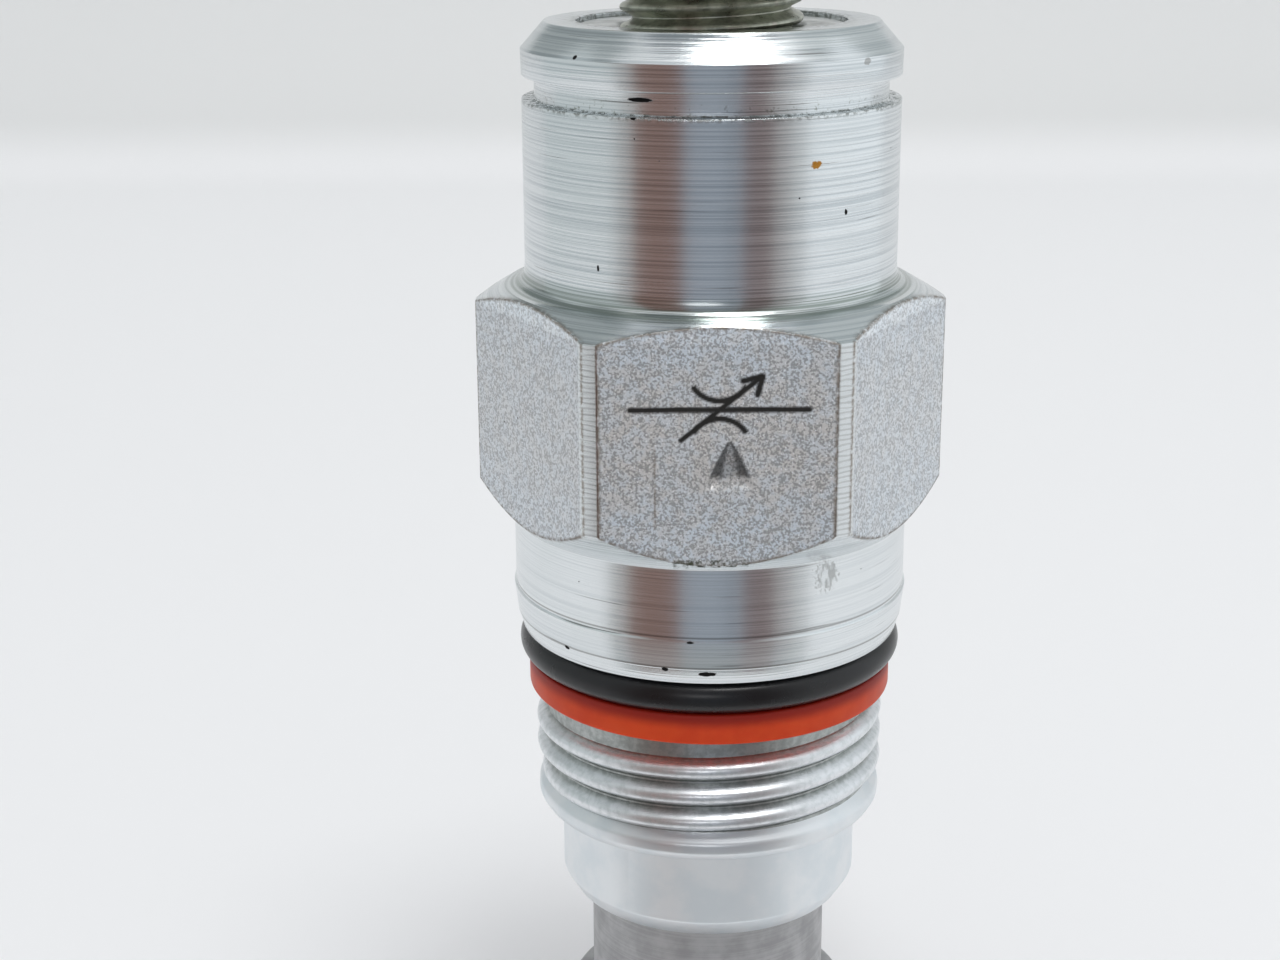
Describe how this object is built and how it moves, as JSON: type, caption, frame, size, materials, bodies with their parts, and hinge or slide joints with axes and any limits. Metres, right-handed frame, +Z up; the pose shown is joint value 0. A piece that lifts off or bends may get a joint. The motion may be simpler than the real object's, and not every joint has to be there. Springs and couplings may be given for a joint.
{
  "type": "cartridge valve",
  "caption": "Screw-in hydraulic cartridge valve with hexagon body, threaded shank, seal rings, ported nose sleeve and an adjusting screw with lock nut that sets its flow.",
  "frame": {"origin": "centre of the nose end face, the lowest point of the valve standing on its nose", "axes": "+Z up the valve's axis to the tip of the adjusting screw; -Y square out of one flat of the body's hexagon; +X to that flat's right"},
  "size_m": [0.0252, 0.0222, 0.0777],
  "materials": {
    "zinc_plated_steel": "bright bluish zinc plate over fine turning lines, with blotchy grime on the hexagon and in the thread",
    "bushing_steel": "pale zinc plate, staked round its rim",
    "hardened_steel": "dark grey satin, heat treated",
    "ground_steel": "ground and honed steel",
    "spring_steel": "oiled dark spring steel",
    "yellow_zinc_steel": "olive yellow chromate, dull",
    "black_rubber": "satin black nitrile rubber",
    "orange_plastic": "slightly translucent orange-red polyester",
    "seal_plastic": "waxy off-white seal plastic"
  },
  "bodies": {
    "body": {"valve_body": "zinc_plated_steel", "adjuster_bushing": "bushing_steel", "bushing_oring": "black_rubber", "cage_sleeve": "hardened_steel", "sleeve_retaining_ring": "spring_steel", "sleeve_oring": "black_rubber", "sleeve_backup_ring": "seal_plastic", "body_oring": "black_rubber", "body_backup_ring": "orange_plastic", "nose_oring": "black_rubber", "nose_backup_ring_lower": "orange_plastic", "nose_backup_ring_upper": "orange_plastic", "spool_stop_ring": "spring_steel", "compensator_spring": "spring_steel"},
    "spool": {"compensator_spool": "ground_steel", "orifice_disc": "ground_steel", "orifice_retaining_ring": "spring_steel", "spring_shim": "spring_steel"},
    "spring_seat": {"spring_seat": "ground_steel"},
    "screw": {"adjusting_screw": "yellow_zinc_steel", "screw_oring": "black_rubber", "screw_backup_ring": "seal_plastic", "screw_stop_ring": "spring_steel"},
    "nut_ring": {"nut_seal_ring": "seal_plastic"},
    "nut": {"lock_nut": "yellow_zinc_steel"}
  },
  "joints": [
    {"name": "spool_travel", "type": "slide", "parent": "body", "child": "spool", "axis": [0, 0, 1], "range_m": [0, 0.0024], "stiffness_N_per_m": 4500, "springref_m": -0.004, "deforming": ["compensator_spring"]},
    {"name": "screw_travel", "type": "slide", "parent": "body", "child": "spring_seat", "axis": [0, 0, 1], "range_m": [-0.00235, 0.00259]},
    {"name": "screw_turn", "type": "hinge", "parent": "spring_seat", "child": "screw", "pos_m": [0, 0, 0.0375], "axis": [0, 0, 1], "range_deg": [-801, 881]},
    {"name": "nut_travel", "type": "slide", "parent": "body", "child": "nut_ring", "axis": [0, 0, 1], "range_m": [-0.00226, 0.00212]},
    {"name": "nut_turn", "type": "hinge", "parent": "nut_ring", "child": "nut", "pos_m": [0, 0, 0.0662], "axis": [0, 0, 1], "range_deg": [-771, 721]}
  ],
  "couplings": [
    {"joint": "screw_turn", "follows": "screw_travel", "rad_per_m": 5936.9},
    {"joint": "nut_turn", "follows": "nut_travel", "rad_per_m": 5936.9}
  ]
}
